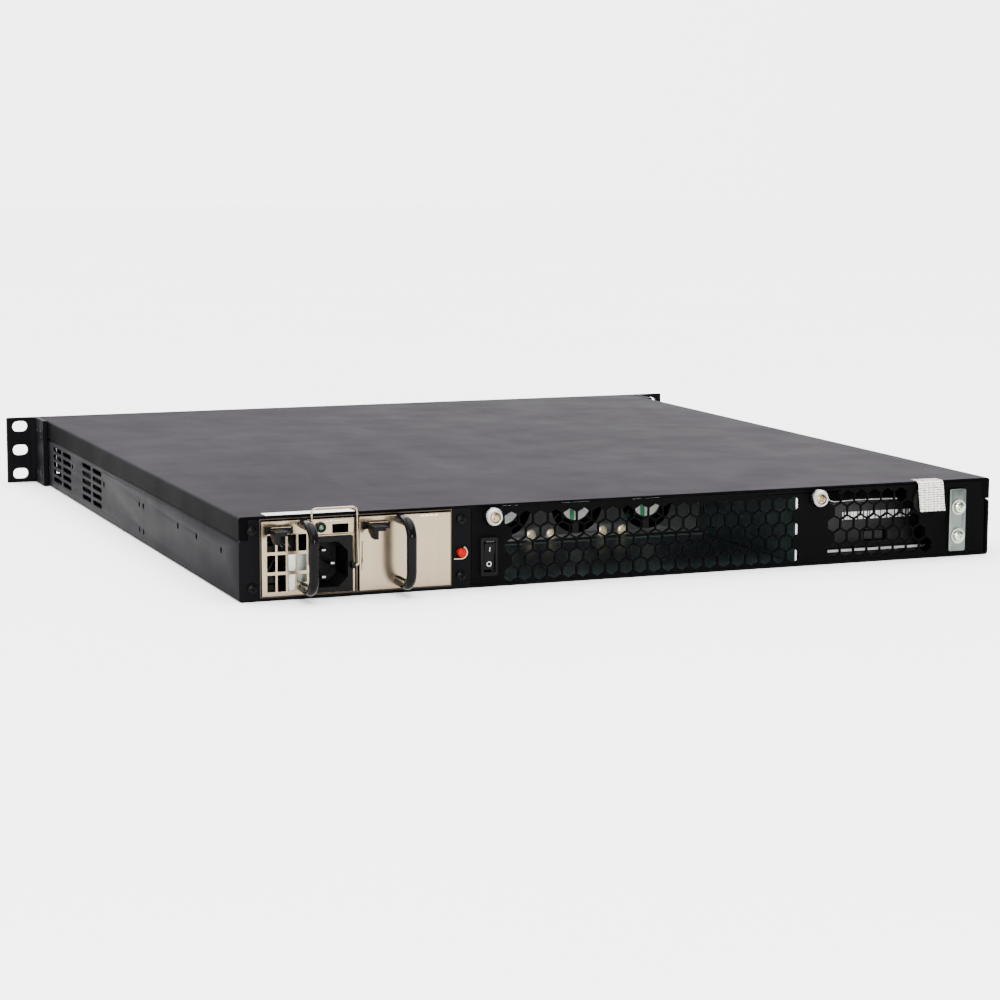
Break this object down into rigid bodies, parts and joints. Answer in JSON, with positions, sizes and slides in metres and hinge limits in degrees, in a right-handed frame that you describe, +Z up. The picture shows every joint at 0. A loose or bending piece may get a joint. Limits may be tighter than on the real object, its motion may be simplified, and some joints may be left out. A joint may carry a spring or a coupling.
{
  "type": "rack firewall appliance",
  "caption": "One-unit rack-mount network firewall with hot-swap power bay, perforated rear wall, fan wall, lift-off cover, front ports and a slide-in port module.",
  "frame": {"origin": "under the middle of the whole assembly, on the surface it stands on", "axes": "+Z up, +Y towards the service side with the power modules, -Y towards the front panel, X across the rack"},
  "size_m": [0.4826, 0.5146, 0.0468],
  "materials": {
    "black_paint": "fine satin powder coat on steel sheet",
    "nickel": "warm nickel-plated sheet, satin",
    "bright_steel": "bright plated",
    "zinc": "dull zinc plate",
    "black_plastic": "moulded, satin",
    "fan_plastic": "moulded, satin",
    "red_plastic": "moulded, gloss",
    "circuit_board": "solder mask over glass fibre",
    "aluminium": "mill finish",
    "smoked_plastic": "tinted, gloss"
  },
  "bodies": {
    "chassis": {"base_tray": "black_paint", "front_panel": "black_paint", "rack_ear_right": "black_paint", "rack_ear_left": "black_paint", "rear_vent_plate": "black_paint", "hole_plug": "black_plastic", "partition_wall": "aluminium", "alarm_bezel": "nickel", "switch_bezel": "black_plastic", "ground_plate": "zinc", "ground_screw_upper": "bright_steel", "ground_screw_lower": "bright_steel", "psu_cage": "nickel", "power_backplane": "circuit_board", "fan_wall": "black_paint", "fan_frame_1": "black_plastic", "fan_frame_2": "black_plastic", "fan_frame_3": "black_plastic", "hard_drive": "aluminium", "drive_tray": "zinc", "mainboard": "circuit_board", "cpu_heatsink": "aluminium", "memory_module_1": "circuit_board", "memory_module_2": "circuit_board", "port_block": "aluminium", "console_block": "aluminium", "usb_block": "aluminium", "display_module": "smoked_plastic", "status_lamp_pipe": "smoked_plastic"},
    "cover": {"top_cover": "black_paint"},
    "supply": {"psu_case": "nickel", "psu_handle": "black_plastic", "inlet_housing": "black_plastic", "inlet_contacts": "bright_steel", "psu_lamp": "smoked_plastic", "psu_board": "circuit_board", "psu_fan_frame": "black_plastic"},
    "supply_fan": {"psu_fan_rotor": "fan_plastic"},
    "supply_latch": {"psu_latch": "black_plastic"},
    "bail": {"cord_bail": "bright_steel"},
    "filler": {"filler_module": "nickel", "filler_handle": "black_plastic"},
    "filler_catch": {"filler_latch": "black_plastic"},
    "alarm_key": {"alarm_button": "red_plastic"},
    "rocker": {"switch_rocker": "black_plastic"},
    "cover_screw_1": {"cover_thumbscrew_1": "bright_steel"},
    "cover_screw_2": {"cover_thumbscrew_2": "bright_steel"},
    "fan_1": {"fan_rotor_1": "fan_plastic"},
    "fan_2": {"fan_rotor_2": "fan_plastic"},
    "fan_3": {"fan_rotor_3": "fan_plastic"},
    "up_key": {"key_up": "black_plastic"},
    "down_key": {"key_down": "black_plastic"},
    "enter_key": {"key_enter": "black_plastic"},
    "back_key": {"key_back": "black_plastic"},
    "expansion": {"expansion_tray": "black_paint", "expansion_board": "circuit_board", "optics_cage": "aluminium"},
    "module_screw_1": {"module_thumbscrew_1": "bright_steel"},
    "module_screw_2": {"module_thumbscrew_2": "bright_steel"}
  },
  "joints": [
    {"name": "cover_lift", "type": "slide", "parent": "chassis", "child": "cover", "axis": [0, 0, 1], "range_m": [0, 0.12]},
    {"name": "supply_slide", "type": "slide", "parent": "chassis", "child": "supply", "axis": [0, 1, 0], "range_m": [0, 0.19]},
    {"name": "filler_slide", "type": "slide", "parent": "chassis", "child": "filler", "axis": [0, 1, 0], "range_m": [0, 0.19]},
    {"name": "supply_latch_turn", "type": "hinge", "parent": "supply", "child": "supply_latch", "pos_m": [0.1916, 0.2371, 0.034], "axis": [0, 0, 1], "range_deg": [0, 10], "stiffness_Nm_per_rad": 0.5},
    {"name": "filler_latch_turn", "type": "hinge", "parent": "filler", "child": "filler_catch", "pos_m": [0.1397, 0.2371, 0.034], "axis": [0, 0, 1], "range_deg": [0, 10], "stiffness_Nm_per_rad": 0.5},
    {"name": "bail_swing", "type": "hinge", "parent": "supply", "child": "bail", "pos_m": [0.16915, 0.2401, 0.0166], "axis": [-1, 0, 0], "range_deg": [0, 100]},
    {"name": "supply_fan_spin", "type": "hinge", "parent": "supply", "child": "supply_fan", "pos_m": [0.185, 0.1917, 0.0216], "axis": [0, 1, 0], "continuous": true},
    {"name": "fan_1_spin", "type": "hinge", "parent": "chassis", "child": "fan_1", "pos_m": [0.0271, 0.1004, 0.0216], "axis": [0, 1, 0], "continuous": true},
    {"name": "fan_2_spin", "type": "hinge", "parent": "chassis", "child": "fan_2", "pos_m": [-0.0177, 0.1004, 0.0216], "axis": [0, 1, 0], "continuous": true},
    {"name": "fan_3_spin", "type": "hinge", "parent": "chassis", "child": "fan_3", "pos_m": [-0.0626, 0.1004, 0.0216], "axis": [0, 1, 0], "continuous": true},
    {"name": "alarm_press", "type": "slide", "parent": "chassis", "child": "alarm_key", "axis": [0, -1, 0], "range_m": [0, 0.0015], "stiffness_N_per_m": 400},
    {"name": "rocker_tilt", "type": "hinge", "parent": "chassis", "child": "rocker", "pos_m": [0.0842, 0.2337, 0.01615], "axis": [1, 0, 0], "range_deg": [0, 12]},
    {"name": "cover_screw_1_turn", "type": "hinge", "parent": "chassis", "child": "cover_screw_1", "pos_m": [0.0828, 0.2357, 0.0373], "axis": [0, 1, 0], "range_deg": [0, 990]},
    {"name": "cover_screw_2_turn", "type": "hinge", "parent": "chassis", "child": "cover_screw_2", "pos_m": [-0.1088, 0.2357, 0.0375], "axis": [0, 1, 0], "range_deg": [0, 990]},
    {"name": "up_key_press", "type": "slide", "parent": "chassis", "child": "up_key", "axis": [0, 1, 0], "range_m": [0, 0.0008], "stiffness_N_per_m": 900},
    {"name": "down_key_press", "type": "slide", "parent": "chassis", "child": "down_key", "axis": [0, 1, 0], "range_m": [0, 0.0008], "stiffness_N_per_m": 900},
    {"name": "enter_key_press", "type": "slide", "parent": "chassis", "child": "enter_key", "axis": [0, 1, 0], "range_m": [0, 0.0008], "stiffness_N_per_m": 900},
    {"name": "back_key_press", "type": "slide", "parent": "chassis", "child": "back_key", "axis": [0, 1, 0], "range_m": [0, 0.0008], "stiffness_N_per_m": 900},
    {"name": "expansion_slide", "type": "slide", "parent": "chassis", "child": "expansion", "axis": [0, -1, 0], "range_m": [0, 0.165]},
    {"name": "module_screw_1_turn", "type": "hinge", "parent": "expansion", "child": "module_screw_1", "pos_m": [0.056, -0.2493, 0.0217], "axis": [0, -1, 0], "range_deg": [0, 990]},
    {"name": "module_screw_2_turn", "type": "hinge", "parent": "expansion", "child": "module_screw_2", "pos_m": [0.2, -0.2493, 0.0217], "axis": [0, -1, 0], "range_deg": [0, 990]}
  ]
}
